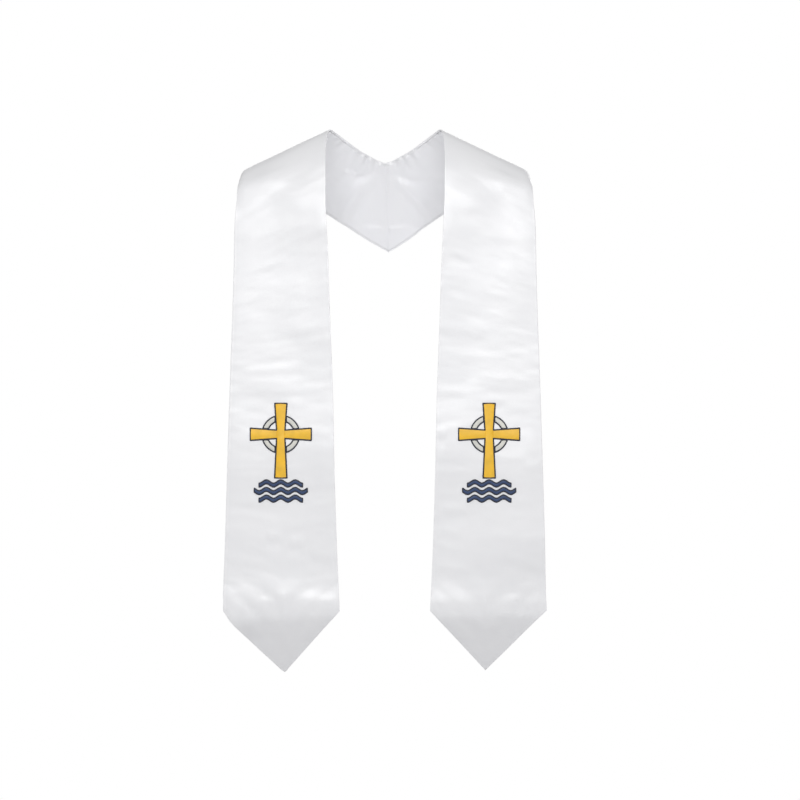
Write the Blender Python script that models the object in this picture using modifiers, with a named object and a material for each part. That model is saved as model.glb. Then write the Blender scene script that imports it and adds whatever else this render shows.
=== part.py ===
"""Lined satin baptism stole, shaped as it hangs over the shoulders of an unseen wearer.

Two mirrored halves meet at a seam at the centre of the back. Each half is one long satin
panel with a lining inside it: it rises from the back seam, rolls over the shoulder and
hangs down the front to a pointed end. An embroidered motif lies on each front.

Metres, +Z up, +X to the viewer's right, -Y towards the viewer. The origin lies between
the two shoulders, level with the neck edge where it crosses them.
"""

import math
from collections import namedtuple

import bmesh
import bpy
import numpy as np

MM = 0.001

# Cloth
PANEL_WALL = 1.2 * MM
LINING_WALL = 1.0 * MM
LAYER_GAP = 0.4 * MM
BACK_SEAM_GAP = 0.3 * MM
TURNED_EDGE = 3.0 * MM

# Pointed end
POINT_DROP = 76 * MM
POINT_ACROSS = 0.478
POINT_GROWS_OVER = 125 * MM

# The front swells a little above its pointed end, which swings back towards the wearer.
SWELL_LEVEL = -604 * MM
SWELL_REACH = 46 * MM
SWELL_OUT = 3.0 * MM
CURL_LEVEL = -600 * MM
CURL_REACH = 81 * MM
CURL_BACK = 24 * MM
CURL_BEND = 1.35

# The back seam leans a little to the viewer's right as it goes down.
SEAM_LEAN = 4.0 * MM
SEAM_LEAN_FADES = 60 * MM

# The outer edge droops over the end of the shoulder.
SHOULDER_DROOP = 5.0 * MM
DROOP_STARTS = 0.86
DROOP_REACH = 42 * MM

# Each section is one straight rib of the cloth, from its neck edge to its outer edge, in
# millimetres on the viewer's right half. x is out from the centre, y back, z up.
Section = namedtuple("Section", "neck_x neck_y neck_z outer_x outer_y outer_z")
SECTIONS = [
    # from the back seam to the shoulder
    Section(0, 62, -39, 0, 92, -151.8),
    Section(10, 60.8, -35.2, 25, 87.5, -137),
    Section(21, 57.5, -29.5, 54, 85, -117.5),
    Section(32, 52.5, -23.5, 84, 81, -99),
    Section(41, 47, -17.5, 115, 73, -87),
    Section(49, 40, -12, 143, 60.5, -79.5),
    Section(56, 32, -7, 164, 44, -74),
    Section(62, 22, -3, 177, 25, -68.5),
    # over the shoulder
    Section(66, 12, -0.7, 183, 13, -64.5),
    Section(68, 0, 0, 185.5, 1, -63),
    Section(70.5, -13, -2, 186.6, -12, -64.3),
    Section(72.8, -26, -8.5, 187.2, -24, -67.3),
    Section(74, -38, -18.5, 187.6, -35.5, -73),
    Section(74.5, -49, -30.5, 187.9, -45, -82.5),
    Section(74.7, -57.5, -43.5, 188.2, -51.5, -96),
    # down the front
    Section(74.5, -63.5, -60, 188.7, -56, -114),
    Section(73.8, -71, -93, 189.3, -61, -146),
    Section(72.5, -79.5, -135, 190, -66.5, -180),
    Section(70.8, -84.5, -185, 191, -70.5, -221),
    Section(69, -87.5, -240, 192.3, -73.5, -263),
    Section(66.8, -90, -293, 193.6, -76, -304),
    Section(65, -92.8, -345, 194.9, -78.5, -348),
    Section(64, -94.2, -385, 195.8, -79.8, -386),
    Section(61.9, -92.8, -466, 197.8, -78.5, -466),
    Section(59.2, -90.8, -542, 199.8, -77, -542),
    Section(56.3, -89.5, -605, 202.3, -76, -605),
]
ROLL_STARTS = 8
SHOULDER_TOP = 9
ROLL_ENDS = 16

# Small tucks along the neck edge, where the seam draws the cloth in: how far each lies
# from the back seam along that edge, how wide, deep and long it is, in millimetres.
# A tuck with a depth above zero stands towards the neck. Each rises from the firm edge.
Tuck = namedtuple("Tuck", "along width depth length")
TUCKS = [
    Tuck(7, 9, 1.9, 24),
    Tuck(19, 9, 2.3, 28),
    Tuck(29, 8, 1.8, 24),
    Tuck(41, 11, 2.1, 24),
    Tuck(62, 15, -2.4, 30),
    Tuck(80, 13, 1.9, 24),
    Tuck(99, 12, 2.0, 30),
]
TUCK_RISE = 6 * MM
TUCK_FADE = 1.2

# One soft fold in each half of the back fans out from the neck edge near the seam.
FAN_START = 16 * MM
FAN_SPREAD = 44 * MM
FAN_WIDTH = 30 * MM
FAN_DEPTH = 2.2 * MM

# Grid of each layer of cloth: rows between the sections that bound it, and columns across
BACK_ROWS = 30
SHOULDER_ROWS = 14
FRONT_ROWS = 27
COLUMNS = (0, 0.045, 0.085, 0.135, 0.2, 0.29, 0.385, POINT_ACROSS, 0.58, 0.7, 0.82, 0.92, 1)

# Embroidered motif: a cross with a ring, standing over three lines of water
MOTIF_WALL = 0.9 * MM
MOTIF_BELOW_ORIGIN = 384 * MM
MOTIF_ACROSS = 0.5
CROSS_UP = 39 * MM
CROSS_DOWN = 55 * MM
CROSS_SIDE = 38 * MM
ARM_AT_CENTRE = 5.2 * MM
ARM_AT_END = 7.6 * MM
RING_INNER = 17 * MM
RING_OUTER = 23.5 * MM
RING_FROM_AXIS = 7.3 * MM
RING_STEPS = 7
RING_QUARTERS = 4
Wave = namedtuple("Wave", "below_centre long")
WAVES = [Wave(62 * MM, 54 * MM), Wave(71.5 * MM, 66 * MM), Wave(81 * MM, 54 * MM)]
WAVE_THICK = 4.6 * MM
WAVE_RISE = 2.0 * MM
WAVE_PITCH = 18 * MM
WAVE_STEPS = 20
LEVEL_TRIES = 40

# Name, colour and roughness of each finish
SATIN = ("white_satin", (0.90, 0.90, 0.92), 0.34)
LINING = ("white_lining", (0.86, 0.86, 0.88), 0.42)
GOLD = ("gold_thread", (0.93, 0.58, 0.06), 0.45)
SILVER = ("silver_thread", (0.66, 0.67, 0.63), 0.45)
BLUE = ("blue_thread", (0.03, 0.07, 0.22), 0.5)

SIDES = {"left": -1, "right": 1}


def smooth(t):
    """0 below 0, 1 above 1, and a smooth step between."""
    t = min(max(t, 0.0), 1.0)
    return t * t * (3 - 2 * t)


def bump(offset):
    """1 at 0, falling smoothly to 0 at 1 and beyond."""
    return math.cos(min(abs(offset), 1.0) * math.pi / 2) ** 2


class Ribs:
    """The ribs of SECTIONS, with a smooth curve through the same end of each."""

    def __init__(self, sections):
        self.table = np.array(sections, float) * MM
        middles = (self.table[:, :3] + self.table[:, 3:]) / 2
        steps = np.linalg.norm(np.diff(middles, axis=0), axis=1)
        self.runs = np.concatenate([[0.0], np.cumsum(steps)])
        self.slopes = np.gradient(self.table, self.runs, axis=0)
        # The cloth is smooth across the back seam, so its normal there has no part along x.
        _, neck_y, neck_z, _, outer_y, outer_z = self.table[0]
        self.slopes[0, [1, 4]] = self.slopes[0, [2, 5]] * (outer_y - neck_y) / (outer_z - neck_z)
        self.marks = np.linspace(0, self.runs[-1], 600)
        edge = np.array([self.at(mark)[0] for mark in self.marks])
        steps = np.linalg.norm(np.diff(edge, axis=0), axis=1)
        self.neck_lengths = np.concatenate([[0.0], np.cumsum(steps)])

    def at(self, run):
        """(neck end, outer end) of the rib this far from the back seam."""
        k = int(np.clip(np.searchsorted(self.runs, run) - 1, 0, len(self.runs) - 2))
        span = self.runs[k + 1] - self.runs[k]
        t = (run - self.runs[k]) / span
        row = (
            (2 * t**3 - 3 * t**2 + 1) * self.table[k]
            + (t**3 - 2 * t**2 + t) * span * self.slopes[k]
            + (3 * t**2 - 2 * t**3) * self.table[k + 1]
            + (t**3 - t**2) * span * self.slopes[k + 1]
        )
        return row[:3], row[3:]

    def width(self, run):
        neck, outer = self.at(run)
        return np.linalg.norm(outer - neck)

    def neck_length(self, run):
        """How far along the neck edge the rib lies from the back seam."""
        return float(np.interp(run, self.marks, self.neck_lengths))


RIBS = Ribs(SECTIONS)
SHOULDER_RUN = RIBS.runs[SHOULDER_TOP]
WHOLE_RUN = RIBS.runs[-1]


def tent(across):
    """1 where the point of the end lies, falling to 0 at both edges."""
    if across < POINT_ACROSS:
        return across / POINT_ACROSS
    return (1 - across) / (1 - POINT_ACROSS)


def tuck_height(along, depth_in):
    """How far the small tucks push the cloth towards the neck, at a place this far along
    the neck edge and this far in from it."""
    height = 0.0
    for tuck in TUCKS:
        offset = (along - tuck.along * MM) / (tuck.width * MM / 2)
        fade = max(0.0, 1 - depth_in / (tuck.length * MM)) ** TUCK_FADE
        rise = min(1.0, depth_in / TUCK_RISE)
        height += tuck.depth * MM * bump(offset) * fade * rise
    return height


def fan_height(along, depth_in, width):
    """How far the soft fold across each half of the back stands away from the wearer."""
    centre = FAN_START + FAN_SPREAD * depth_in / width
    swell = math.sin(math.pi * depth_in / width)
    return FAN_DEPTH * bump((along - centre) / (FAN_WIDTH / 2)) * swell


def plain_point(run, across):
    """A point between the layers on the right half, before tucks and folds."""
    neck, outer = RIBS.at(run)
    point = neck + (outer - neck) * across
    droop = smooth((across - DROOP_STARTS) / (1 - DROOP_STARTS)) ** 2
    near_top = 1 - smooth(abs(run - SHOULDER_RUN) / DROOP_REACH)
    point[2] -= SHOULDER_DROOP * droop * near_top
    point[2] -= POINT_DROP * tent(across) * max(0.0, 1 - (WHOLE_RUN - run) / POINT_GROWS_OVER)
    point[1] -= SWELL_OUT * bump((point[2] - SWELL_LEVEL) / SWELL_REACH)
    point[1] += CURL_BACK * max(0.0, (CURL_LEVEL - point[2]) / CURL_REACH) ** CURL_BEND
    return point


def outward(run, across):
    """The direction away from the wearer at a point of the right half."""
    step = 0.6 * MM
    side_step = 0.01
    after = plain_point(min(run + step, WHOLE_RUN), across)
    before = plain_point(max(run - step, 0), across)
    out = plain_point(run, min(across + side_step, 1))
    back = plain_point(run, max(across - side_step, 0))
    normal = np.cross(after - before, out - back)
    return normal / np.linalg.norm(normal)


def cloth_point(run, across, lift, side):
    """A point of one half of the stole, lifted away from the wearer off the layer between
    panel and lining."""
    width = RIBS.width(run)
    along = RIBS.neck_length(run)
    folds = fan_height(along, across * width, width) - tuck_height(along, across * width)
    point = plain_point(run, across) + outward(run, across) * (lift + folds)
    lean = SEAM_LEAN * across * (1 - smooth(run / SEAM_LEAN_FADES))
    return (side * point[0] + lean, point[1], point[2])


def spaced(start, end, count):
    """count steps from start to end, without the end itself."""
    return [start + (end - start) * k / count for k in range(count)]


def grid_rows(inset):
    """Rib places from the back seam to the end of the cloth, close together on the back
    and over the shoulder, where the cloth curves, and with a last pair close to the end."""
    rows = spaced(0.0, RIBS.runs[ROLL_STARTS], BACK_ROWS)
    rows += spaced(RIBS.runs[ROLL_STARTS], RIBS.runs[ROLL_ENDS], SHOULDER_ROWS)
    rows += spaced(RIBS.runs[ROLL_ENDS], WHOLE_RUN, FRONT_ROWS)
    return rows + [WHOLE_RUN - 2 * TURNED_EDGE, WHOLE_RUN - inset]


def finish(name, colour, roughness):
    """A material of that colour and roughness, made once."""
    material = bpy.data.materials.get(name)
    if material is None:
        material = bpy.data.materials.new(name)
        material.use_nodes = True
        shader = material.node_tree.nodes["Principled BSDF"]
        shader.inputs["Base Color"].default_value = (*colour, 1)
        shader.inputs["Roughness"].default_value = roughness
        shader.inputs["Metallic"].default_value = 0
        material.diffuse_color = (*colour, 1)
    return material


def add_cloth(name, form, wall, look):
    """An object of that open surface, with its wall added along the surface's normals."""
    mesh = bpy.data.meshes.new(name)
    form.to_mesh(mesh)
    form.free()
    mesh.shade_smooth()
    mesh.materials.append(finish(*look))
    part = bpy.data.objects.new(name, mesh)
    stole.objects.link(part)
    solidify = part.modifiers.new("wall", "SOLIDIFY")
    solidify.thickness = abs(wall)
    solidify.offset = math.copysign(1, wall)


def add_layer(name, side, lift, inset, wall, look):
    """One half's panel or lining: a loft through the ribs, inset from the edges. Both
    layers share their inner rows and columns, so the gap between them stays even. A wall
    below zero is added on the wearer's side."""
    form = bmesh.new()
    grid = []
    for run in grid_rows(inset):
        margin = inset / RIBS.width(run)
        row = []
        for column in COLUMNS:
            across = min(max(column, margin), 1 - margin)
            x, y, z = cloth_point(run, across, lift, side)
            if run == 0.0:
                x += side * BACK_SEAM_GAP / 2
            row.append(form.verts.new((x, y, z)))
        grid.append(row)
    for low, high in zip(grid, grid[1:]):
        for a, b, c, d in zip(low, low[1:], high[1:], high):
            form.faces.new((a, d, c, b) if side > 0 else (a, b, c, d))
    add_cloth(name, form, wall, look)


def motif_place(right, up, side):
    """The point just off the front panel that lies this far to the viewer's right of the
    motif's centre and this far above it."""
    level = up - MOTIF_BELOW_ORIGIN
    low, high = SHOULDER_RUN, WHOLE_RUN
    for _ in range(LEVEL_TRIES):
        run = (low + high) / 2
        if RIBS.at(run)[0][2] > level:
            low = run
        else:
            high = run
    neck, outer = RIBS.at(run)
    across = MOTIF_ACROSS + side * right / (outer[0] - neck[0])
    return cloth_point(run, across, LAYER_GAP / 2 + PANEL_WALL + LAYER_GAP, side)


def add_motif_piece(name, outline, side, look):
    """A flat piece of embroidery laid on the front panel. Its outline is points (right,
    up) from the motif's centre, anticlockwise."""
    form = bmesh.new()
    form.faces.new([form.verts.new(motif_place(right, up, side)) for right, up in outline])
    form.normal_update()
    bmesh.ops.triangulate(form, faces=form.faces[:])
    add_cloth(name, form, MOTIF_WALL, look)


def cross_outline():
    """A cross with flared arms, the lower one the longest."""
    arms = ((1, 0, CROSS_SIDE), (0, 1, CROSS_UP), (-1, 0, CROSS_SIDE), (0, -1, CROSS_DOWN))
    outline = []
    for right, up, reach in arms:
        outline.append((right * reach + up * ARM_AT_END, up * reach - right * ARM_AT_END))
        outline.append((right * reach - up * ARM_AT_END, up * reach + right * ARM_AT_END))
        outline.append(((right - up) * ARM_AT_CENTRE, (up + right) * ARM_AT_CENTRE))
    return outline


def ring_outline(quarter):
    """A quarter of the ring behind the crossing, between two arms of the cross."""
    outline = []
    for radius, order in ((RING_INNER, -1), (RING_OUTER, 1)):
        start = quarter * math.pi / 2 + math.asin(RING_FROM_AXIS / radius)
        sweep = math.pi / 2 - 2 * math.asin(RING_FROM_AXIS / radius)
        for k in range(RING_STEPS + 1)[::order]:
            angle = start + sweep * k / RING_STEPS
            outline.append((radius * math.cos(angle), radius * math.sin(angle)))
    return outline


def wave_outline(wave):
    """A band of even thickness along a line of water."""
    outline = []
    for edge, order in ((-1, 1), (1, -1)):
        for k in range(WAVE_STEPS + 1)[::order]:
            right = wave.long * (k / WAVE_STEPS - 0.5)
            rise = WAVE_RISE * math.cos(2 * math.pi * right / WAVE_PITCH)
            outline.append((right, rise - wave.below_centre + edge * WAVE_THICK / 2))
    return outline


def add_half(label, side):
    """The panel, lining and motif of one half."""
    add_layer("panel_" + label, side, LAYER_GAP / 2, 0.0, PANEL_WALL, SATIN)
    add_layer("lining_" + label, side, -LAYER_GAP / 2, TURNED_EDGE, -LINING_WALL, LINING)
    add_motif_piece("cross_" + label, cross_outline(), side, GOLD)
    for quarter in range(RING_QUARTERS):
        add_motif_piece(f"ring_{label}_{quarter + 1}", ring_outline(quarter), side, SILVER)
    for number, wave in enumerate(WAVES, 1):
        add_motif_piece(f"wave_{label}_{number}", wave_outline(wave), side, BLUE)


for left_over in list(bpy.data.objects):
    bpy.data.objects.remove(left_over)
stole = bpy.data.collections.new("baptism_stole")
bpy.context.scene.collection.children.link(stole)
for label, side in SIDES.items():
    add_half(label, side)
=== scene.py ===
"""Looks of the lined satin baptism stole: fine cloth shells, creases, embroidery, stitches,
finishes, light and camera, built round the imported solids.

Metres, +Z up, +X to the viewer's right, -Y towards the viewer. Heights on the cloth are
away from the wearer where they are above zero.
"""

import math
from collections import namedtuple

import bmesh
import bpy
import numpy as np
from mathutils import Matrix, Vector
from mathutils.bvhtree import BVHTree


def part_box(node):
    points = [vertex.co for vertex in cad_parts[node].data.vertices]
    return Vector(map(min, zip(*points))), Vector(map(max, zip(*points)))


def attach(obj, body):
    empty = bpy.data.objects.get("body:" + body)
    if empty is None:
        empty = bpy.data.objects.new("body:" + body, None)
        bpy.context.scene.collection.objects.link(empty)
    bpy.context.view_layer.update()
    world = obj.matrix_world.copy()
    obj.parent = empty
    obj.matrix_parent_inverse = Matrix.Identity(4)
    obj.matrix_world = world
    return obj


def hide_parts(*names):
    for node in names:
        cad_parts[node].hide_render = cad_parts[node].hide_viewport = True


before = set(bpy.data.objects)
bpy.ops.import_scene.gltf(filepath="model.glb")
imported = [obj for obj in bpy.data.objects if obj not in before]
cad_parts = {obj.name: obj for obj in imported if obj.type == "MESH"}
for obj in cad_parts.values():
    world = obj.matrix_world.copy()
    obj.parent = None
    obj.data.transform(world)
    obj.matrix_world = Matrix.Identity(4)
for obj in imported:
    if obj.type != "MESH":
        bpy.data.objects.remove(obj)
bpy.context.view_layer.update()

MM = 0.001
SIDES = {"left": -1, "right": 1}

# Layers, measured from the outer face of the panel's solid towards the wearer
PANEL_WALL = 1.2 * MM
LINING_FROM = 1.6 * MM
LINING_WALL = 1.0 * MM
TURNED_EDGE = 3.0 * MM
SEAM_GAP = 0.3 * MM
SEAM_GAP_CLOSES = 12 * MM

# Reading the solids: points this close are one, a wall ends where its faces bend more
# than this, and the back seam is where the two halves come this close. The first rows of
# a wall give the spacing of its columns.
WELD = 0.002 * MM
WALL_BEND = math.radians(55)
SEAM_REACH = 1.0 * MM
ROWS_FOR_COLUMNS = 40

# Parts of a half: the front by its depth, the back by its run from the seam, and the
# pointed end by its length. The point lies at that column of the solid.
FRONT_STARTS = -10 * MM
FRONT_FADES = 20 * MM
BACK_FULL = 160 * MM
BACK_FADES = 60 * MM
POINT_REACH = 150 * MM
POINT_COLUMN = 7

# Spacing of the fine shells: close steps beside an edge, then even ones
EDGE_STEPS = (0.25, 0.6, 1.1, 1.8, 2.8, 4.2)
PANEL_STEP = 2.0 * MM
LINING_STEP = 2.6 * MM
USUAL_WIDTH = 126 * MM

# Edges: how far in they round off and how fully, how much nearer the slanting hem is
# than the end of its column, and the shallow line where the turned edge ends
ROUND_OFF = 1.1 * MM
ROUND_FULL = 0.98
HEM_SLANT = 0.71
PRESS_LINE_IN = 3.4 * MM
PRESS_LINE_WIDTH = 1.3 * MM
PRESS_LINE_DEPTH = 0.10 * MM

# Puckers beside the edges and the back seam: each fades over the reach
PUCKER_REACH = 5.5 * MM
PUCKER_PITCH = 7.5 * MM
PUCKER_HEIGHT = 0.22 * MM
PUCKER_ACROSS = 0.4
PUCKER_DOWN = 50 * MM
EDGE_PUCKER_SEED = 21
SEAM_PUCKER_SEED = 22

# The lining hangs loose of its own edges, unevenly
LOOSE_ACROSS = 19 * MM
LOOSE_ALONG = 30 * MM
LOOSE_DEPTH = 0.7 * MM
LOOSE_FROM = 2 * MM
LOOSE_FADES = 12 * MM
LOOSE_SEED = 40

# Gathers along the neck edge: place along it from the back seam, width, height and length
# in millimetres. Below zero stands towards the neck. Each rises from the firm edge.
GATHER_RISE = 5.5 * MM
GATHER_FADE = 1.2
Gather = namedtuple("Gather", "along width height length")
GATHERS = {
    "left": [
        Gather(6, 4.5, -1.5, 18),
        Gather(19.5, 5.0, -1.7, 22),
        Gather(25.5, 4.0, 1.0, 16),
        Gather(30, 4.0, -1.5, 18),
        Gather(43, 5.5, -1.3, 17),
        Gather(56, 8, 1.1, 17),
        Gather(71, 8, -0.7, 16),
        Gather(85, 8, -0.8, 18),
        Gather(97, 7, -0.8, 22),
    ],
    "right": [
        Gather(5, 4.5, -1.5, 18),
        Gather(13, 4.0, 0.9, 14),
        Gather(20, 5.0, -1.6, 20),
        Gather(28, 4.5, -1.5, 18),
        Gather(40, 6.0, -1.2, 16),
        Gather(53, 8, 1.1, 16),
        Gather(66, 8, -0.7, 18),
        Gather(83, 9, -0.8, 16),
        Gather(99, 7, -0.8, 24),
    ],
}

# A crease keeps its height over this share of its half length, then fades over the next
CREASE_FULL = 0.62
CREASE_FADES = 0.75

# Creases by where they lie as seen from the front, in millimetres: two ends (x, z), width
# across, height. A step is a soft line below which the cloth lies further in.
Crease = namedtuple("Crease", "x0 z0 x1 z1 wide high")
BACK_RIDGES = {
    "left": [
        Crease(-20, -58, -60, -110, 10, -2.4),
        Crease(-3, -62, -28, -108, 8, -0.9),
        Crease(-44, -146, 0, -150, 24, -2.8),
        Crease(0, -44, 1, -72, 4, 1.4),
        Crease(1, -44, 4, -150, 1.6, 0.3),
        Crease(2, -130, 4, -150, 3, -0.6),
    ],
    "right": [
        Crease(19, -58, 62, -112, 10, -2.4),
        Crease(6, -66, 26, -104, 8, -0.8),
        Crease(4, -150, 48, -146, 24, -2.8),
        Crease(0, -44, 1, -72, 4, 1.4),
        Crease(1, -44, 4, -150, 1.6, 0.3),
        Crease(2, -130, 4, -150, 3, -0.6),
    ],
}
# On the back a step with a height above zero catches the light on the face seen in front.
BACK_STEPS = {
    "left": [
        Crease(-22, -54, -60, -94, 9, 1.7),
        Crease(-26, -68, -52, -110, 9, -1.5),
        Crease(-52, -46, -40, -52, 6, -1.5),
        Crease(-40, -52, -25, -49, 6, -1.6),
        Crease(-25, -49, -12, -44, 5, -1.1),
        Crease(-35, -123, -23, -117, 5, 1.4),
        Crease(-23, -117, -4, -119, 5, 1.6),
    ],
    "right": [
        Crease(17, -54, 58, -97, 9, 1.7),
        Crease(24, -70, 56, -110, 9, -1.5),
        Crease(9, -47, 33, -57, 6, -1.6),
        Crease(33, -57, 56, -56, 6, -1.5),
        Crease(5, -119, 23, -117, 5, 1.6),
        Crease(23, -117, 40, -124, 5, 1.4),
    ],
}
FRONT_STEPS = {
    "left": [
        Crease(-200, -473, -136, -474, 8, 0.55),
        Crease(-146, -517, -130, -516, 8, 0.9),
        Crease(-119, -524, -103, -525, 8, 0.9),
        Crease(-94, -539, -65, -543, 9, 1.0),
        Crease(-154, -588, -137, -589, 8, -0.9),
        Crease(-111, -584, -60, -587, 10, -0.4),
        Crease(-173, -606, -155, -608, 8, -0.8),
        Crease(-186, -330, -120, -336, 14, 0.5),
        Crease(-120, -262, -64, -270, 15, 0.5),
        Crease(-188, -402, -150, -396, 12, 0.4),
    ],
    "right": [
        Crease(74, -485, 103, -484, 9, 0.9),
        Crease(62, -388, 76, -389, 8, 0.8),
        Crease(146, -541, 198, -558, 9, 1.0),
        Crease(62, -556, 107, -559, 10, 0.9),
        Crease(158, -578, 184, -581, 8, 0.8),
        Crease(58, -585, 116, -588, 10, -0.4),
        Crease(149, -606, 178, -608, 8, -0.8),
        Crease(176, -417, 190, -421, 9, -0.7),
        Crease(120, -318, 188, -326, 14, 0.5),
        Crease(70, -255, 126, -262, 15, 0.5),
    ],
}
SHOULDER_STEPS = {
    "left": [
        Crease(-176, -112, -96, -104, 10, 0.7),
        Crease(-186, -134, -128, -128, 9, -0.5),
        Crease(-150, -66, -100, -50, 10, 0.8),
    ],
    "right": [
        Crease(96, -106, 172, -112, 10, 0.7),
        Crease(124, -130, 184, -136, 9, -0.5),
        Crease(98, -52, 146, -66, 10, 0.8),
    ],
}

# Broad rounded folds across the front, with a height at each end
Fold = namedtuple("Fold", "x0 z0 x1 z1 wide high0 high1")
FRONT_FOLDS = {
    "left": [
        Fold(-250, -92, -130, -62, 12, 4.2, 4.2),
        Fold(-130, -88, -10, -92, 18, 1.8, 1.8),
        Fold(-200, -134, -60, -112, 22, 1.4, 3.0),
        Fold(-205, -424, -55, -414, 46, 3.0, 2.2),
        Fold(-140, -608, -60, -604, 16, 0.3, 0.6),
        Fold(-196, -618, -160, -618, 13, 2.0, 1.6),
    ],
    "right": [
        Fold(130, -62, 250, -92, 12, 4.2, 4.2),
        Fold(10, -92, 130, -88, 18, 1.8, 1.8),
        Fold(60, -114, 200, -134, 22, 2.4, 1.2),
        Fold(55, -414, 205, -424, 46, 2.2, 3.0),
        Fold(60, -604, 140, -608, 16, 0.6, 0.3),
    ],
}

# The fronts swell out, or fall back where below zero, from the level start down to end:
# how far at their inner edge and at their outer one
Swell = namedtuple("Swell", "start end inner outer")
SWELLS = {
    "left": [
        Swell(-75 * MM, -175 * MM, -4.5 * MM, -1.5 * MM),
        Swell(-215 * MM, -560 * MM, 2.5 * MM, 4.5 * MM),
        Swell(-375 * MM, -600 * MM, 2.5 * MM, 6 * MM),
    ],
    "right": [
        Swell(-75 * MM, -175 * MM, -5.5 * MM, -1.5 * MM),
        Swell(-215 * MM, -530 * MM, 2 * MM, 4.5 * MM),
        Swell(-375 * MM, -590 * MM, 3.5 * MM, 7 * MM),
        Swell(-510 * MM, -592 * MM, -0.5 * MM, -11 * MM),
    ],
}

# The top of the shoulder lifts, fully from this share of the width on. Its outer corner
# drops and turns in past CORNER_TURN, and loses most of its folds there.
TOP_LIFT = 6.0 * MM
TOP_LONG = 48 * MM
TOP_FULL_ACROSS = 0.90
CORNER_TURN = 0.87
CORNER_DROP = 5.0 * MM
CORNER_IN = 6.5 * MM
CORNER_IN_LONG = 105 * MM
CORNER_FLATTER = 0.9

# The pointed end swings further back than its solid below this level.
TIP_LEVEL = -612 * MM
TIP_REACH = 67 * MM
TIP_BACK = 16 * MM
TIP_LONGER = 1.0 * MM
TIP_BEND = 1.2

# Uneven surface of the cloth: size of its patches across and along, height, seed
Unevenness = namedtuple("Unevenness", "across along high seed")
UNEVEN = [
    Unevenness(46 * MM, 62 * MM, 0.55 * MM, 3),
    Unevenness(27 * MM, 9 * MM, 0.20 * MM, 5),
    Unevenness(12 * MM, 5 * MM, 0.06 * MM, 8),
]
CHEST_LEVEL = -150 * MM
CHEST_REACH = 75 * MM
CHEST_UNEVEN = Unevenness(30 * MM, 9 * MM, 0.16 * MM, 11)
SEED_OF_OTHER_SIDE = 100

# Embroidered motif
STITCH = 0.55 * MM
STITCH_RIDGE = 0.14 * MM
FILL_EDGE = 0.35 * MM
FILL_CROWN = 1.0 * MM
OUTLINE_WIDTH = 1.9 * MM
OUTLINE_CROWN = 1.15 * MM
SUNK = 0.12 * MM
ARM_AT_CENTRE = 5.2 * MM
ARM_AT_END = 7.6 * MM
CROSS_UP_SHARE = 39 / 94
RING_INNER = 17 * MM
RING_OUTER = 23.5 * MM
RING_FROM_AXIS = 7.3 * MM
WAVE_THICK = 4.6 * MM
WAVE_RISE = 2.0 * MM
WAVE_PITCH = 18 * MM

# Places across a stitched field and across an outline cord, and the height at each
FILL_SHARES = (0, 0.06, 0.16, 0.32, 0.5, 0.68, 0.84, 0.94, 1)
FILL_HEIGHTS = [
    FILL_EDGE + (FILL_CROWN - FILL_EDGE) * (1 - abs(2 * s - 1) ** 3) for s in FILL_SHARES
]
OUTLINE_SHARES = (0, 0.15, 0.38, 0.62, 0.85, 1)
OUTLINE_HEIGHTS = (0.45 * MM, 0.95 * MM, OUTLINE_CROWN, OUTLINE_CROWN, 0.95 * MM, 0.45 * MM)

# Slip stitches that hold the lining to the turned edge: each starts on the satin, this far
# outside the lining, and its ends stand this proud of both cloths. The probe is the step
# along the edge that gives the way out. The profile has shares of length and thickness.
SLIP_PITCH = 5.5 * MM
SLIP_LONG = 2.0 * MM
SLIP_THICK = 0.45 * MM
SLIP_OUTSIDE = 0.7 * MM
SLIP_PROUD = 0.1 * MM
SLIP_PROBE = 1 * MM
SLIP_PROFILE = ((0, 0.35), (0.3, 1), (0.7, 1), (1, 0.35))

# Weave of the satin: waves to a metre across and along, detail, height and strength, for
# the long floats, the weft and the slubs
Weave = namedtuple("Weave", "across along detail high strength")
WEAVES = [
    Weave(4200, 500, 2.0, 0.06 * MM, 0.5),
    Weave(700, 2600, 1.0, 0.04 * MM, 0.35),
    Weave(420, 9, 2.0, 0.05 * MM, 0.25),
]
CLOUDS_TO_A_METRE = 16.0
STITCHES_TO_A_METRE = 1500
THREAD_PATCHES_TO_A_METRE = 90.0

# Camera, as it stood for the photograph
CAMERA_AT = (18.75 * MM, -6.085, -0.3419)
VIEW_WIDE = 1.0
VIEW_FAR = 6.0
SENSOR = 36.0

# Studio
FLOOR_LEVEL = -1.45
FLOOR_RADIUS = 7.0
FLOOR_WHITE_FROM = 1.6
FLOOR_WHITE_AT = 5.5
AMBIENT = 0.43

# Lamps, with their power in watts and their spread in degrees, all aimed at one place
Lamp = namedtuple("Lamp", "name place wide high power spread")
LAMPS = [
    Lamp("key", (0.0, -3.8, 1.6), 2.3, 1.9, 96, 180),
    Lamp("left_fill", (-3.2, -0.6, 0.5), 2.2, 2.2, 13, 180),
    Lamp("right_fill", (3.2, -0.6, 0.5), 2.2, 2.2, 13, 180),
    Lamp("back_fill", (0.5, 3.2, -0.1), 2.4, 2.0, 26, 180),
    Lamp("top_fill", (0.0, 0.3, 3.0), 2.0, 2.0, 3, 180),
    Lamp("reflector", (0.0, 0.05, -0.66), 0.12, 0.12, 0.07, 50),
]
LAMPS_AIM = Vector((0, 0, -0.3))


def smooth(t):
    """0 below 0, 1 above 1, and a smooth step between."""
    t = np.clip(t, 0, 1)
    return t * t * (3 - 2 * t)


def bump(offset):
    """1 at 0, falling smoothly to 0 at 1 and beyond."""
    return np.cos(np.minimum(np.abs(offset), 1) * math.pi / 2) ** 2


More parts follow.
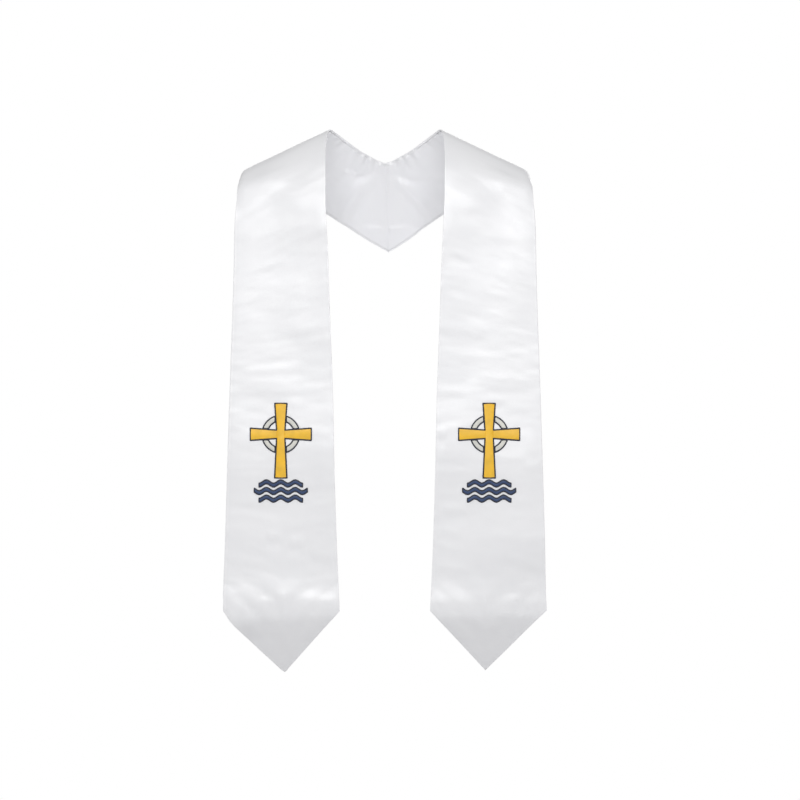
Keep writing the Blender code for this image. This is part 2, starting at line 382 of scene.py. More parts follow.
def hermite(t, span, start, end, start_slope, end_slope):
    """The smooth curve from start to end with those slopes."""
    return (
        (2 * t**3 - 3 * t**2 + 1) * start
        + (t**3 - 2 * t**2 + t) * span * start_slope
        + (3 * t**2 - 2 * t**3) * end
        + (t**3 - t**2) * span * end_slope
    )


def noise(right, up, patch, seed):
    """Smooth noise from -1 to 1 over a plane, with patches of that size (right, up)."""
    values = np.random.default_rng(seed).uniform(-1, 1, (64, 64))
    a, b = right / patch[0] + 17.3, up / patch[1] + 29.1
    i, j = np.floor(a).astype(int), np.floor(b).astype(int)
    s, t = smooth(a - i), smooth(b - j)
    low = values[i % 64, j % 64] * (1 - s) + values[(i + 1) % 64, j % 64] * s
    high = values[i % 64, (j + 1) % 64] * (1 - s) + values[(i + 1) % 64, (j + 1) % 64] * s
    return low * (1 - t) + high * t


def welded(node):
    """A bmesh of a solid's mesh, with the points that its faces share made one."""
    form = bmesh.new()
    form.from_mesh(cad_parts[node].data)
    bmesh.ops.remove_doubles(form, verts=form.verts[:], dist=WELD)
    form.normal_update()
    return form


def outer_wall(form):
    """The faces on the side away from the wearer, spread from the foremost one."""
    first = min(form.faces, key=lambda face: face.calc_center_median().y)
    wall, waiting = {first}, [first]
    while waiting:
        face = waiting.pop()
        for edge in face.edges:
            for other in edge.link_faces:
                if other not in wall and face.normal.angle(other.normal) < WALL_BEND:
                    wall.add(other)
                    waiting.append(other)
    return wall


def rim_of(wall):
    """The points round a wall in order, from the foot of the back seam up the seam."""
    beside = {}
    for face in wall:
        for edge in face.edges:
            if all(other in wall for other in edge.link_faces):
                continue
            for vert in edge.verts:
                beside.setdefault(vert, []).append(edge.other_vert(vert))
    foot = max(beside, key=lambda vert: vert.co.y)
    rim = [foot, min(beside[foot], key=lambda vert: abs(vert.co.x - foot.co.x))]
    while rim[-1] is not foot:
        rim += [vert for vert in beside[rim[-1]] if vert is not rim[-2]]
    return rim[:-1]


def wall_grid(label):
    """The points of a panel's outer wall: a row for each rib from the back seam to the
    pointed end, and in it a point for each column from the neck edge to the outer edge."""
    form = welded("panel_" + label)
    other = "right" if label == "left" else "left"
    facing = np.array([vert.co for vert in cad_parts["panel_" + other].data.vertices])
    wall = outer_wall(form)
    rim = rim_of(wall)
    on_seam = [v for v in rim if np.linalg.norm(facing - v.co, axis=1).min() < SEAM_REACH]
    columns = len(on_seam)
    rows = (len(rim) - 2 * (columns - 1)) // 2 + 1
    beside = {}
    for face in wall:
        for vert in face.verts:
            beside.setdefault(vert, set()).update(face.verts)
    grid = [rim[columns - 1 :: -1]]
    used = set(grid[0])
    for first in rim[columns : columns + rows - 1]:
        row = [first]
        used.add(first)
        for above in grid[-1][1:]:
            (found,) = (beside[row[-1]] & beside[above]) - used
            row.append(found)
            used.add(found)
        grid.append(row)
    points = np.array([[vert.co[:] for vert in row] for row in grid])
    form.free()
    return points


class Cloth:
    """The outer face of one half, as a smooth surface through its solid's points."""

    def __init__(self, label):
        self.label, self.side = label, SIDES[label]
        self.grid = wall_grid(label)
        ends = (self.grid[:, 0] + self.grid[:, -1]) / 2
        steps = np.linalg.norm(np.diff(ends, axis=0), axis=1)
        self.runs = np.concatenate([[0.0], np.cumsum(steps)])
        self.whole = self.runs[-1]
        gaps = np.linalg.norm(np.diff(self.grid[:ROWS_FOR_COLUMNS], axis=1), axis=2)
        share = np.cumsum(gaps, axis=1) / gaps.sum(axis=1, keepdims=True)
        self.columns = np.concatenate([[0.0], share.mean(axis=0)])
        self.columns[-1] = 1.0
        self.widths = np.linalg.norm(self.grid[:, -1] - self.grid[:, 0], axis=1)
        steps = np.linalg.norm(np.diff(self.grid[:, 0], axis=0), axis=1)
        self.along_neck = np.concatenate([[0.0], np.cumsum(steps)])
        self.slopes = np.gradient(self.grid, self.runs, axis=0)

    def width(self, run):
        return np.interp(run, self.runs, self.widths)

    def at(self, run, across):
        """Points at arrays of places of one shape: run from the seam, share of width."""
        shape = np.shape(run)
        run, across = np.ravel(run), np.ravel(across)
        k = np.clip(np.searchsorted(self.runs, run) - 1, 0, len(self.runs) - 2)
        span = (self.runs[k + 1] - self.runs[k])[:, None, None]
        t = (run - self.runs[k])[:, None, None] / span
        ribs = hermite(
            t, span, self.grid[k], self.grid[k + 1], self.slopes[k], self.slopes[k + 1]
        )
        slope = np.gradient(ribs, self.columns, axis=1)
        cut = POINT_COLUMN
        before = np.gradient(ribs[:, : cut + 1], self.columns[: cut + 1], axis=1)
        after = np.gradient(ribs[:, cut:], self.columns[cut:], axis=1)
        # The pointed end keeps straight edges: each half of it has its own slope.
        pointed = smooth((run - self.whole) / POINT_REACH + 1)[:, None, None]
        starts = np.concatenate([before[:, :-1], after[:, :-1]], axis=1)
        stops = np.concatenate([before[:, 1:], after[:, 1:]], axis=1)
        starts = slope[:, :-1] * (1 - pointed) + starts * pointed
        stops = slope[:, 1:] * (1 - pointed) + stops * pointed
        c = np.clip(np.searchsorted(self.columns, across) - 1, 0, len(self.columns) - 2)
        n = np.arange(len(run))
        span = (self.columns[c + 1] - self.columns[c])[:, None]
        t = (across - self.columns[c])[:, None] / span
        points = hermite(t, span, ribs[n, c], ribs[n, c + 1], starts[n, c], stops[n, c])
        # The gap that parts the two solids closes towards the seam.
        closing = SEAM_GAP / 2 * (1 - smooth(run / SEAM_GAP_CLOSES))
        points[:, 0] -= self.side * closing
        return points.reshape(*shape, 3)


def graded(length, step, close_start=True, close_end=True):
    """Places from 0 to length, in close steps beside an edge and even ones between."""
    close = [mm * MM for mm in EDGE_STEPS]
    start = [0.0] + close if close_start else [0.0]
    end = [length - place for place in close][::-1] + [length] if close_end else [length]
    count = max(1, round((end[0] - start[-1]) / step))
    between = np.linspace(start[-1], end[0], count + 1)[1:-1]
    return np.array([*start, *between, *end])


class Patch:
    """A fine grid of places on a cloth, with all that the relief is worked out from."""

    def __init__(self, cloth, step, inset=0.0):
        self.cloth = cloth
        runs = graded(cloth.whole - inset, step)
        shares = graded(USUAL_WIDTH, step) / USUAL_WIDTH
        self.run, share = np.meshgrid(runs, shares, indexing="ij")
        self.width = cloth.width(self.run)
        margin = inset / self.width
        self.across = margin + (1 - 2 * margin) * share
        self.points = cloth.at(self.run, self.across)
        self.turn_corner(runs)
        self.swing_tip()
        self.normal = self.outward(runs, shares)
        self.x, self.z = self.points[..., 0], self.points[..., 2]
        self.along = np.interp(self.run, cloth.runs, cloth.along_neck)
        self.depth = self.across * self.width
        self.from_edge = self.edge_distance(share)
        self.from_seam = np.linalg.norm(self.points - self.points[0], axis=2)
        self.level = self.level_runs(runs)
        self.front = smooth((FRONT_STARTS - self.points[..., 1]) / FRONT_FADES)
        self.back = 1 - smooth((self.run - BACK_FULL) / BACK_FADES)

    def turn_corner(self, runs):
        """Marks the top of the shoulder and its outer corner, and draws the corner in."""
        top = runs[self.points[:, -1, 2].argmax()]
        turn = np.clip((self.across - CORNER_TURN) / (1 - CORNER_TURN), 0, 1) ** 2
        self.at_top = bump((self.run - top) / TOP_LONG)
        self.corner = turn * self.at_top
        self.long_corner = turn * bump((self.run - top) / CORNER_IN_LONG)
        self.points[..., 0] -= self.cloth.side * CORNER_IN * self.long_corner

    def swing_tip(self):
        """Moves the pointed end further back and down."""
        near_tip = np.clip((TIP_LEVEL - self.points[..., 2]) / TIP_REACH, 0, 1) ** TIP_BEND
        self.points[..., 1] += TIP_BACK * near_tip
        self.points[..., 2] -= TIP_LONGER * near_tip

    def outward(self, runs, shares):
        """The way out of the cloth, away from the wearer, at each place."""
        down = np.gradient(self.points, runs, axis=0)
        out = np.gradient(self.points, shares, axis=1)
        normal = np.cross(down, out) * self.cloth.side
        return normal / np.linalg.norm(normal, axis=2, keepdims=True)

    def edge_distance(self, share):
        """How far each place is from the nearest side edge or the slanting hem."""
        sides = np.minimum(share, 1 - share) * self.width
        end = np.linalg.norm(self.points - self.points[-1], axis=2) * HEM_SLANT
        near_end = self.run > self.cloth.whole - POINT_REACH
        return np.where(near_end, np.minimum(sides, end), sides)

    def level_runs(self, runs):
        """The run of each place as if the ribs stayed level down to the point."""
        row = np.searchsorted(runs, self.cloth.whole - POINT_REACH)
        fall = runs[row] + self.z[row].mean() - self.z
        pointed = smooth((self.run - self.cloth.whole) / POINT_REACH + 1)
        return self.run + (fall - self.run) * pointed


def along_and_off(patch, crease):
    """How far along a crease each place lies, from -1 to 1, and how far off it, with
    places above it positive, in widths of the crease."""
    start = np.array([crease.x0, crease.z0]) * MM
    reach = np.array([crease.x1, crease.z1]) * MM - start
    long = np.linalg.norm(reach)
    way = reach / long
    off_way = np.array([-way[1], way[0]])
    if off_way[1] < 0:
        off_way = -off_way
    dx, dz = patch.x - start[0], patch.z - start[1]
    along = (dx * way[0] + dz * way[1]) / long * 2 - 1
    off = (dx * off_way[0] + dz * off_way[1]) / (crease.wide * MM)
    return along, off


def ends_fade(along):
    """1 along a crease, fading out a little past both its ends."""
    return 1 - smooth((np.abs(along) - CREASE_FULL) / CREASE_FADES)


def ridge(patch, crease):
    along, off = along_and_off(patch, crease)
    return crease.high * MM * np.exp(-(off**2)) * ends_fade(along)


def changing_ridge(patch, fold):
    along, off = along_and_off(patch, fold)
    high = fold.high0 + (fold.high1 - fold.high0) * smooth((along + 1) / 2)
    return high * MM * np.exp(-(off**2)) * ends_fade(along)


def step_in(patch, crease):
    along, off = along_and_off(patch, crease)
    return crease.high * MM * off * np.exp(-(off**2)) * ends_fade(along)


def gather_relief(patch, gathers):
    height = np.zeros_like(patch.run)
    for gather in gathers:
        off = (patch.along - gather.along * MM) / (gather.width * MM / 2)
        fade = np.clip(1 - patch.depth / (gather.length * MM), 0, 1) ** GATHER_FADE
        rise = smooth(patch.depth / GATHER_RISE)
        height += gather.height * MM * np.exp(-(off**2)) * fade * rise
    return height


def uneven_relief(patch, kind):
    seed = kind.seed + (patch.cloth.side > 0) * SEED_OF_OTHER_SIDE
    return kind.high * noise(patch.depth, patch.level, (kind.across, kind.along), seed)


def pucker_relief(patch):
    edge = noise(patch.run, patch.across, (PUCKER_PITCH, PUCKER_ACROSS), EDGE_PUCKER_SEED)
    seam = noise(patch.depth, patch.run, (PUCKER_PITCH, PUCKER_DOWN), SEAM_PUCKER_SEED)
    edge *= np.exp(-patch.from_edge / PUCKER_REACH)
    seam *= np.exp(-patch.from_seam / PUCKER_REACH)
    return PUCKER_HEIGHT * (edge + seam)


def relief(patch):
    """Height of the cloth over its solid's outer face."""
    label = patch.cloth.label
    height = gather_relief(patch, GATHERS[label])
    for crease in BACK_RIDGES[label]:
        height += ridge(patch, crease) * patch.back
    for crease in BACK_STEPS[label]:
        height += step_in(patch, crease) * patch.back
    for fold in FRONT_FOLDS[label]:
        height += changing_ridge(patch, fold) * patch.front
    for crease in FRONT_STEPS[label] + SHOULDER_STEPS[label]:
        height += step_in(patch, crease) * patch.front
    for swell in SWELLS[label]:
        high = swell.inner + (swell.outer - swell.inner) * smooth(patch.across)
        height += high * smooth((swell.start - patch.z) / (swell.start - swell.end)) * patch.front
    height *= 1 - CORNER_FLATTER * patch.long_corner
    height += TOP_LIFT * np.minimum(patch.across / TOP_FULL_ACROSS, 1) * patch.at_top
    height -= CORNER_DROP * patch.corner
    for kind in UNEVEN:
        height += uneven_relief(patch, kind)
    chest = bump((patch.z - CHEST_LEVEL) / CHEST_REACH) * patch.front
    height += uneven_relief(patch, CHEST_UNEVEN) * chest
    return height + pucker_relief(patch)


def rounding(distance, radius, half):
    """How far a face falls back beside an edge, for a wall that is 2 * half thick."""
    t = np.clip(1 - distance / radius, 0, 1)
    return half * (1 - np.sqrt(1 - t**2 * ROUND_FULL))


def object_of(name, mesh):
    """A smooth object in the scene."""
    mesh.shade_smooth()
    piece = bpy.data.objects.new(name, mesh)
    bpy.context.scene.collection.objects.link(piece)
    return piece


def object_from(name, form):
    """A smooth object in the scene from a bmesh of closed shells, which it uses up."""
    bmesh.ops.recalc_face_normals(form, faces=form.faces[:])
    mesh = bpy.data.meshes.new(name)
    form.to_mesh(mesh)
    form.free()
    return object_of(name, mesh)


def shell_object(name, outer, inner, runs, depth, flip):
    """A closed shell between two grids of points, with a UV map in metres."""
    rows, columns = outer.shape[:2]
    count = rows * columns
    verts = np.concatenate([outer.reshape(-1, 3), inner.reshape(-1, 3)])
    index = np.arange(count).reshape(rows, columns)
    quads = np.stack([index[:-1, :-1], index[:-1, 1:], index[1:, 1:], index[1:, :-1]], axis=2)
    quads = quads.reshape(-1, 4)
    rim = np.concatenate([index[0, :-1], index[:-1, -1], index[-1, :0:-1], index[:0:-1, 0]])
    after = np.roll(rim, -1)
    walls = np.stack([after, rim, rim + count, after + count], axis=1)
    faces = np.concatenate([quads, quads[:, ::-1] + count, walls])
    if flip:
        faces = faces[:, ::-1]
    mesh = bpy.data.meshes.new(name)
    mesh.from_pydata(verts.tolist(), [], faces.tolist())
    uv = np.stack([depth, runs], axis=2).reshape(-1, 2)
    uv = np.concatenate([uv, uv])
    corners = np.empty(len(mesh.loops), np.int32)
    mesh.loops.foreach_get("vertex_index", corners)
    layer = mesh.uv_layers.new(name="cloth")
    layer.data.foreach_set("uv", uv[corners].astype(np.float32).ravel())
    return object_of(name, mesh)


def panel_object(patch):
    """One half's satin panel: a thin shell with rounded, slightly puckered edges."""
    half = PANEL_WALL / 2
    height = relief(patch)
    line = bump((patch.from_edge - PRESS_LINE_IN) / PRESS_LINE_WIDTH)
    edge = rounding(np.minimum(patch.from_edge, patch.from_seam), ROUND_OFF, half)
    face = height - PRESS_LINE_DEPTH * line
    outer = patch.points + patch.normal * (face - edge)[..., None]
    inner = patch.points + patch.normal * (height - PANEL_WALL + edge)[..., None]
    name = "satin_panel_" + patch.cloth.label
    return shell_object(name, outer, inner, patch.run, patch.depth, patch.cloth.side > 0)


def lining_object(patch):
    """One half's lining: a softer shell inside the panel, held along its edges."""
    half = LINING_WALL / 2
    height = relief(patch)
    seed = LOOSE_SEED + (patch.cloth.side > 0)
    loose = (noise(patch.depth, patch.run, (LOOSE_ACROSS, LOOSE_ALONG), seed) + 1) / 2
    loose *= LOOSE_DEPTH * smooth((patch.from_edge - LOOSE_FROM) / LOOSE_FADES)
    edge = rounding(patch.from_edge, ROUND_OFF, half)
    near = height - LINING_FROM
    outer = patch.points + patch.normal * (near - edge)[..., None]
    inner = patch.points + patch.normal * (near - LINING_WALL - loose + edge)[..., None]
    name = "lining_layer_" + patch.cloth.label
    return shell_object(name, outer, inner, patch.run, patch.depth, patch.cloth.side > 0)


class Front:
    """Where a point seen from the front lies on the panel, and which way it faces."""

    def __init__(self, panel):
        form = bmesh.new()
        form.from_mesh(panel.data)
        self.tree = BVHTree.FromBMesh(form)
        form.free()

    def place(self, x, z, height):
        """The point that high over the panel, straight behind (x, z)."""
        point, normal, _, _ = self.tree.ray_cast(Vector((x, -1, z)), Vector((0, 1, 0)))
        return point + normal * height


def band(form, front, centre, flat, crowns):
    """A raised strip of stitches: flat holds the points (right, up) of each stitch line
    from one edge to the other, and crowns the height of each. It is a closed shell."""
    top, under = [], []
    for k, line in enumerate(flat):
        ridge_up = STITCH_RIDGE if k % 2 else 0.0
        row = []
        for (right, up), crown in zip(line, crowns):
            x, z = centre[0] + right, centre[1] + up
            row.append(form.verts.new(front.place(x, z, crown - ridge_up)))
        top.append(row)
        ends = (line[0], line[-1])
        under.append(
            [form.verts.new(front.place(centre[0] + r, centre[1] + u, -SUNK)) for r, u in ends]
        )
    for k in range(len(top) - 1):
        a, b, low, high = top[k], top[k + 1], under[k], under[k + 1]
        for p, q, r, s in zip(a, a[1:], b[1:], b):
            form.faces.new((p, q, r, s))
        form.faces.new((low[0], a[0], b[0], high[0]))
        form.faces.new((a[-1], low[1], high[1], b[-1]))
        form.faces.new((low[1], low[0], high[0], high[1]))
    for row, ends, first in ((top[0], under[0], True), (top[-1], under[-1], False)):
        ring = [ends[0], *row, ends[1]]
        form.faces.new(ring[::-1] if first else ring)


def lines_between(start_edge, end_edge, shares):
    """For each pair of points on two edges, the points between them at those shares."""
    return [
        [(a[0] + (b[0] - a[0]) * s, a[1] + (b[1] - a[1]) * s) for s in shares]
        for a, b in zip(start_edge, end_edge)
    ]


def arm_lines(way, reach, start):
    """Stitch lines across one arm of the cross, from start to reach along its way."""
    count = round((reach - start) / (STITCH / 2))
    off = (-way[1], way[0])
    one, two = [], []
    for k in range(count + 1):
        far = start + (reach - start) * k / count
        half = ARM_AT_CENTRE + (ARM_AT_END - ARM_AT_CENTRE) * abs(far) / reach
        one.append((way[0] * far - off[0] * half, way[1] * far - off[1] * half))
        two.append((way[0] * far + off[0] * half, way[1] * far + off[1] * half))
    return lines_between(one, two, FILL_SHARES)


def ring_lines(quarter):
    """Stitch lines across a quarter of the ring, from its inner to its outer edge."""
    count = round((RING_OUTER * math.pi / 2 - 2 * RING_FROM_AXIS) / (STITCH / 2))
    edges = []
    for radius in (RING_OUTER, RING_INNER):
        start = quarter * math.pi / 2 + math.asin(RING_FROM_AXIS / radius)
        sweep = math.pi / 2 - 2 * math.asin(RING_FROM_AXIS / radius)
        angles = [start + sweep * k / count for k in range(count + 1)]
        edges.append([(radius * math.cos(a), radius * math.sin(a)) for a in angles])
    return lines_between(*edges, FILL_SHARES)


def wave_lines(below, long):
    """Stitch lines across one line of water."""
    count = round(long / (STITCH / 2))
    lower, upper = [], []
    for k in range(count + 1):
        right = long * (k / count - 0.5)
        up = WAVE_RISE * math.cos(2 * math.pi * right / WAVE_PITCH) - below
        lower.append((right, up - WAVE_THICK / 2))
        upper.append((right, up + WAVE_THICK / 2))
    return lines_between(lower, upper, FILL_SHARES)


def outline_of(lines):
    """The outline of a field of stitch lines, as a closed loop of points."""
    first = [line[0] for line in lines]
    last = [line[-1] for line in lines]
    return first + lines[-1][1:-1] + last[::-1] + lines[0][-2:0:-1]


def cross_loop(up, down, side_reach):
    """The outline of the whole cross, anticlockwise."""
    loop = []
    arms = ((1, 0, side_reach), (0, 1, up), (-1, 0, side_reach), (0, -1, down))
    for right, rise, reach in arms:
        loop.append((right * reach + rise * ARM_AT_END, rise * reach - right * ARM_AT_END))
        loop.append((right * reach - rise * ARM_AT_END, rise * reach + right * ARM_AT_END))
        loop.append(((right - rise) * ARM_AT_CENTRE, (rise + right) * ARM_AT_CENTRE))
    return loop


def even_loop(loop, spacing):
    """A closed loop with points at even spacing along it."""
    points = np.array([*loop, loop[0]])
    steps = np.linalg.norm(np.diff(points, axis=0), axis=1)
    places = np.concatenate([[0.0], np.cumsum(steps)])
    count = 2 * round(places[-1] / spacing / 2)
    wanted = np.linspace(0, places[-1], count, endpoint=False)
    return np.stack([np.interp(wanted, places, points[:, axis]) for axis in (0, 1)], axis=1)


def outline_lines(loop):
    """Short stitch lines across a cord that follows a loop."""
    points = even_loop(loop, STITCH / 2)
    ahead = np.roll(points, -2, axis=0) - np.roll(points, 2, axis=0)
    ahead /= np.maximum(np.linalg.norm(ahead, axis=1, keepdims=True), 1e-9)
    off = np.stack([-ahead[:, 1], ahead[:, 0]], axis=1) * OUTLINE_WIDTH / 2
    one = [tuple(p) for p in points - off]
    two = [tuple(p) for p in points + off]
    lines = lines_between(one, two, OUTLINE_SHARES)
    return lines + [lines[0]]


def stitched_object(name, front, centre, fields, heights):
    """One piece of embroidery, of several fields of stitch lines."""
    form = bmesh.new()
    for lines in fields:
        band(form, front, centre, lines, heights)
    return object_from(name, form)


def box_of(name):
    """(middle x, middle z, half width, half height) of a solid seen from the front."""
    low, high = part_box(name)
    return (low.x + high.x) / 2, (low.z + high.z) / 2, (high.x - low.x) / 2, (high.z - low.z) / 2


def motif_objects(label, panel):
    """The embroidery of one front, in the places of its solids."""
    front = Front(panel)
    middle_x, middle_z, reach_x, reach_z = box_of("cross_" + label)
    up, down = 2 * reach_z * CROSS_UP_SHARE, 2 * reach_z * (1 - CROSS_UP_SHARE)
    centre = (middle_x, middle_z + reach_z - up)
    arms = [
        arm_lines((0, 1), up, 0.0),
        arm_lines((0, -1), down, 0.0),
        arm_lines((1, 0), reach_x, ARM_AT_CENTRE),
        arm_lines((-1, 0), reach_x, ARM_AT_CENTRE),
    ]
    rings = [ring_lines(quarter) for quarter in range(4)]
    waves = []
    for number in (1, 2, 3):
        _, wave_z, wave_reach, _ = box_of(f"wave_{label}_{number}")
        waves.append(wave_lines(centre[1] - wave_z, 2 * wave_reach))
    loops = [cross_loop(up, down, reach_x)] + [outline_of(lines) for lines in rings + waves]
    cords = [outline_lines(loop) for loop in loops]
    cross = stitched_object("cross_stitches_" + label, front, centre, arms, FILL_HEIGHTS)
    ring = stitched_object("ring_stitches_" + label, front, centre, rings, FILL_HEIGHTS)
    water = stitched_object("water_stitches_" + label, front, centre, waves, FILL_HEIGHTS)
    cord = stitched_object("outline_stitches_" + label, front, centre, cords, OUTLINE_HEIGHTS)
    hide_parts("cross_" + label)
    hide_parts(*[f"ring_{label}_{quarter}" for quarter in (1, 2, 3, 4)])
    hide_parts(*[f"wave_{label}_{number}" for number in (1, 2, 3)])
    return {"gold": cross, "silver": ring, "blue": water, "navy": cord}


def between_places(places, wanted):
    """For each wanted place, which one comes before it and its share of the way on."""
    before = np.clip(np.searchsorted(places, wanted) - 1, 0, len(places) - 2)
    share = (wanted - places[before]) / (places[before + 1] - places[before])
    return before, share[:, None]


def shaped_at(patch, shaped, run, across):
    """Points of the shaped face at places between those of its patch."""
    i, s = between_places(patch.run[:, 0], run)
    j, t = between_places(patch.across[0], across)
    low = shaped[i, j] * (1 - s) + shaped[i + 1, j] * s
    high = shaped[i, j + 1] * (1 - s) + shaped[i + 1, j + 1] * s
    return low * (1 - t) + high * t


def slip_stitch(form, low, high, normal):
    """One stitch from low to high, four-sided and closed, thinner at its ends."""
    way = (high - low) / np.linalg.norm(high - low)
    side = np.cross(way, normal)
    rings = []
    for share, thick in SLIP_PROFILE:
        middle = low + (high - low) * share
        radius = SLIP_THICK / 2 * thick
        corners = [middle + out * radius for out in (side, normal, -side, -normal)]
        rings.append([form.verts.new(corner) for corner in corners])
    for one, two in zip(rings, rings[1:]):
        for p, q, r, s in zip(one, one[1:] + one[:1], two[1:] + two[:1], two):
            form.faces.new((p, q, r, s))
    form.faces.new(rings[0][::-1])
    form.faces.new(rings[-1])


def slip_stitches(patch, name):
    """Short stitches along the lining's edges, each reaching from the lining to the edge."""
    form = bmesh.new()
    cloth = patch.cloth
    shaped = patch.points + patch.normal * relief(patch)[..., None]
    runs = np.arange(SLIP_PITCH, cloth.whole - TURNED_EDGE, SLIP_PITCH)
    for edge_share, inward in ((0.0, 1), (1.0, -1)):
        for run in runs:
            width = float(cloth.width(run))
            start = edge_share + inward * (TURNED_EDGE - SLIP_OUTSIDE) / width
            stop = edge_share + inward * (TURNED_EDGE + SLIP_LONG - SLIP_OUTSIDE) / width
            near = np.array([run, run, run + SLIP_PROBE, run - SLIP_PROBE])
            at = np.array([start, stop, start, start])
            places = shaped_at(patch, shaped, near, at)
            normal = np.cross(places[2] - places[3], places[1] - places[0]) * cloth.side * inward
            normal /= np.linalg.norm(normal)
            low = places[0] - normal * (PANEL_WALL + SLIP_PROUD)
            high = places[1] - normal * (LINING_FROM + LINING_WALL + SLIP_PROUD)
            slip_stitch(form, low, high, normal)
    return object_from(name, form)


class Finish:
    """A material's nodes, built one after the other."""

    def __init__(self, name):
        self.material = bpy.data.materials.new(name)
        self.material.use_nodes = True
        self.tree = self.material.node_tree
        self.shader = self.tree.nodes["Principled BSDF"]

    def node(self, kind, values=(), **settings):
        made = self.tree.nodes.new(kind)
        for key, value in settings.items():
            setattr(made, key, value)
        for socket, value in values:
            if isinstance(value, bpy.types.NodeSocket):
                self.tree.links.new(value, made.inputs[socket])
            else:
                made.inputs[socket].default_value = value
        return made

    def scaled(self, source, scale):
        """Texture coordinates stretched by that scale."""
        values = [("Vector", source), ("Scale", scale)]
        return self.node("ShaderNodeMapping", values).outputs["Vector"]

    def noise(self, vector, scale, detail=3.0):
        values = [("Vector", vector), ("Scale", scale), ("Detail", detail)]
        return self.node("ShaderNodeTexNoise", values).outputs["Fac"]

    def between(self, factor, low, high, low_at=0.3, high_at=0.7):
        """A number from low to high as the factor goes from low_at to high_at."""
        values = [
            ("Value", factor),
            ("From Min", low_at),
            ("From Max", high_at),
            ("To Min", low),
            ("To Max", high),
        ]
        return self.node("ShaderNodeMapRange", values).outputs["Result"]

    def mixed(self, factor, one, two):
        """A colour from one to two. A mix node keeps its colours in sockets 6 and 7 in and
        socket 2 out."""
        values = [(0, factor), (6, (*one, 1)), (7, (*two, 1))]
        return self.node("ShaderNodeMix", values, data_type="RGBA").outputs[2]

    def mixed_shader(self, factor, one, two):
        values = [(0, factor), (1, one), (2, two)]
        return self.node("ShaderNodeMixShader", values).outputs[0]

    def bumps(self, height, distance, strength=1.0, onto=None):
        values = [("Height", height), ("Distance", distance), ("Strength", strength)]
        if onto is not None:
            values.append(("Normal", onto))
        return self.node("ShaderNodeBump", values).outputs["Normal"]

    def set(self, **values):
        """Links or sets the shader's sockets, with _ for a space in a socket's name."""
        for key, value in values.items():
            socket = self.shader.inputs[key.replace("_", " ")]
            if isinstance(value, bpy.types.NodeSocket):
                self.tree.links.new(value, socket)
            else:
                socket.default_value = value
        return self.material


def satin_finish(name, bright, dim, smooth_part, rough_part):
    """White satin: fine floats along the cloth, faint slubs, and a soft uneven gloss."""
    made = Finish(name)
    cloth = made.node("ShaderNodeUVMap", uv_map="cloth").outputs["UV"]
    clouds = made.noise(cloth, CLOUDS_TO_A_METRE, 2.0)
    colour = made.mixed(made.between(clouds, 0.0, 1.0), bright, dim)
    rough = made.between(clouds, smooth_part, rough_part)
    normal = None
    for weave in WEAVES:
        threads = made.scaled(cloth, (weave.across, weave.along, 1))
        texture = made.noise(threads, 1.0, weave.detail)
        normal = made.bumps(texture, weave.high, weave.strength, normal)
    return made.set(
        Base_Color=colour,
        Roughness=rough,
        Normal=normal,
        Specular_IOR_Level=1.0,
        IOR=1.6,
        Sheen_Weight=0.08,
        Sheen_Roughness=0.35,
    )


def thread_finish(name, one, two, roughness):
    """Rayon thread: colour that varies a little from stitch to stitch, with a soft gloss."""
    made = Finish(name)
    place = made.node("ShaderNodeTexCoord").outputs["Object"]
    stitches = made.noise(made.scaled(place, (STITCHES_TO_A_METRE,) * 3), 1.0, 2.0)
    patches = made.noise(place, THREAD_PATCHES_TO_A_METRE, 2.0)
    colour = made.mixed(made.between(patches, 0.0, 1.0), one, two)
    normal = made.bumps(stitches, 0.12 * MM, 0.6)
    return made.set(
        Base_Color=colour,
        Roughness=made.between(patches, roughness, roughness + 0.1),
        Normal=normal,
        Specular_IOR_Level=0.5,
        Sheen_Weight=0.1,
    )


def floor_finish():
    """Pale floor that whitens to the backdrop far out, and shows from above only."""
    made = Finish("pale_floor")
    place = made.node("ShaderNodeTexCoord").outputs["Object"]
    grain = made.noise(place, 3.0)
    colour = made.mixed(made.between(grain, 0.0, 1.0), (0.72, 0.72, 0.73), (0.68, 0.68, 0.69))
    made.set(Base_Color=colour, Roughness=0.85)
    far = made.node("ShaderNodeVectorMath", [(0, place)], operation="LENGTH").outputs["Value"]
    white = made.node("ShaderNodeEmission", [("Color", (1, 1, 1, 1)), ("Strength", 1.0)])
    fade = made.between(far, 0.0, 1.0, FLOOR_WHITE_FROM, FLOOR_WHITE_AT)
    seen = made.node("ShaderNodeLightPath").outputs["Is Camera Ray"]
    fade = made.node("ShaderNodeMath", [(0, fade), (1, seen)], operation="MULTIPLY").outputs[0]
    shade = made.mixed_shader(fade, made.shader.outputs[0], white.outputs[0])
    clear = made.node("ShaderNodeBsdfTransparent").outputs[0]
    behind = made.node("ShaderNodeNewGeometry").outputs["Backfacing"]
    shown = made.mixed_shader(behind, shade, clear)
    made.tree.links.new(shown, made.tree.nodes["Material Output"].inputs[0])
    return made.material


def add_floor():
    form = bmesh.new()
    bmesh.ops.create_circle(form, cap_ends=True, segments=96, radius=FLOOR_RADIUS)
    mesh = bpy.data.meshes.new("floor")
    form.to_mesh(mesh)
    form.free()
    floor = bpy.data.objects.new("floor", mesh)
    floor.location = (0, 0, FLOOR_LEVEL)
    floor.data.materials.append(floor_finish())
    bpy.context.scene.collection.objects.link(floor)


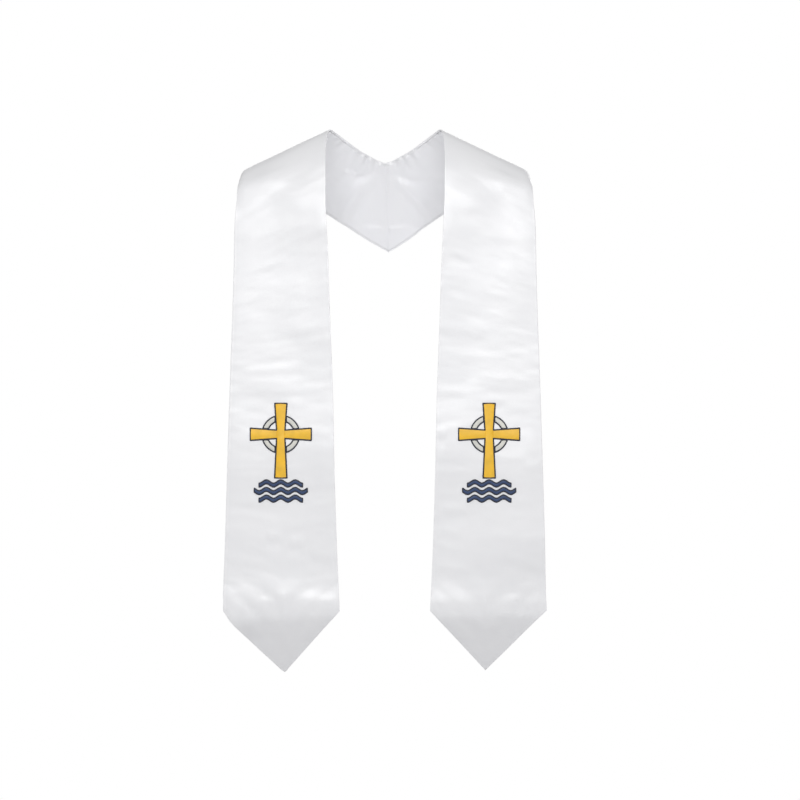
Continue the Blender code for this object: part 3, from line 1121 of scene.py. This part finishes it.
def add_lamps():
    for lamp in LAMPS:
        light = bpy.data.lights.new(lamp.name, "AREA")
        light.shape = "RECTANGLE"
        light.size, light.size_y = lamp.wide, lamp.high
        light.energy = lamp.power
        light.spread = math.radians(lamp.spread)
        held = bpy.data.objects.new(lamp.name, light)
        held.location = lamp.place
        aim = LAMPS_AIM - Vector(lamp.place)
        held.rotation_euler = aim.to_track_quat("-Z", "Y").to_euler()
        held.visible_camera = False
        bpy.context.scene.collection.objects.link(held)


def add_world():
    """Even light from all round, in front of a white backdrop."""
    world = bpy.data.worlds.new("studio")
    world.use_nodes = True
    tree = world.node_tree
    tree.nodes["Background"].inputs["Strength"].default_value = AMBIENT
    tree.nodes["Background"].inputs["Color"].default_value = (1, 1, 1, 1)
    white = tree.nodes.new("ShaderNodeBackground")
    white.inputs["Color"].default_value = (1, 1, 1, 1)
    seen = tree.nodes.new("ShaderNodeLightPath").outputs["Is Camera Ray"]
    mix = tree.nodes.new("ShaderNodeMixShader")
    tree.links.new(seen, mix.inputs[0])
    tree.links.new(tree.nodes["Background"].outputs[0], mix.inputs[1])
    tree.links.new(white.outputs[0], mix.inputs[2])
    tree.links.new(mix.outputs[0], tree.nodes["World Output"].inputs["Surface"])
    bpy.context.scene.world = world
    bpy.context.scene.view_settings.view_transform = "Standard"


def add_camera():
    data = bpy.data.cameras.new("camera")
    data.sensor_width = SENSOR
    data.lens = SENSOR * VIEW_FAR / VIEW_WIDE
    camera = bpy.data.objects.new("camera", data)
    camera.location = CAMERA_AT
    camera.rotation_euler = (math.pi / 2, 0, 0)
    bpy.context.scene.collection.objects.link(camera)
    bpy.context.scene.camera = camera


def dress(piece, material):
    piece.data.materials.append(material)
    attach(piece, "root")


def add_half(label, finishes):
    """Every piece of one half, dressed and attached to the root body."""
    cloth = Cloth(label)
    panel_patch = Patch(cloth, PANEL_STEP)
    panel = panel_object(panel_patch)
    lining = lining_object(Patch(cloth, LINING_STEP, TURNED_EDGE))
    slips = slip_stitches(panel_patch, "slip_stitches_" + label)
    motif = motif_objects(label, panel)
    dress(panel, finishes["satin"])
    dress(lining, finishes["lining"])
    dress(slips, finishes["slips"])
    for colour, piece in motif.items():
        dress(piece, finishes[colour])
    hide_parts("panel_" + label)
    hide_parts("lining_" + label)


finishes = {
    "satin": satin_finish("white_satin", (0.83, 0.83, 0.845), (0.80, 0.802, 0.82), 0.34, 0.40),
    "lining": satin_finish("lining_satin", (0.82, 0.82, 0.84), (0.79, 0.792, 0.815), 0.34, 0.41),
    "slips": thread_finish("white_thread", (0.88, 0.88, 0.88), (0.82, 0.82, 0.82), 0.5),
    "gold": thread_finish("gold_rayon", (0.92, 0.53, 0.02), (0.78, 0.46, 0.03), 0.4),
    "silver": thread_finish("silver_rayon", (0.72, 0.71, 0.65), (0.62, 0.62, 0.58), 0.42),
    "blue": thread_finish("blue_rayon", (0.026, 0.06, 0.16), (0.02, 0.045, 0.12), 0.45),
    "navy": thread_finish("navy_rayon", (0.010, 0.013, 0.028), (0.014, 0.018, 0.035), 0.5),
}
for label in SIDES:
    add_half(label, finishes)
add_floor()
add_lamps()
add_world()
add_camera()
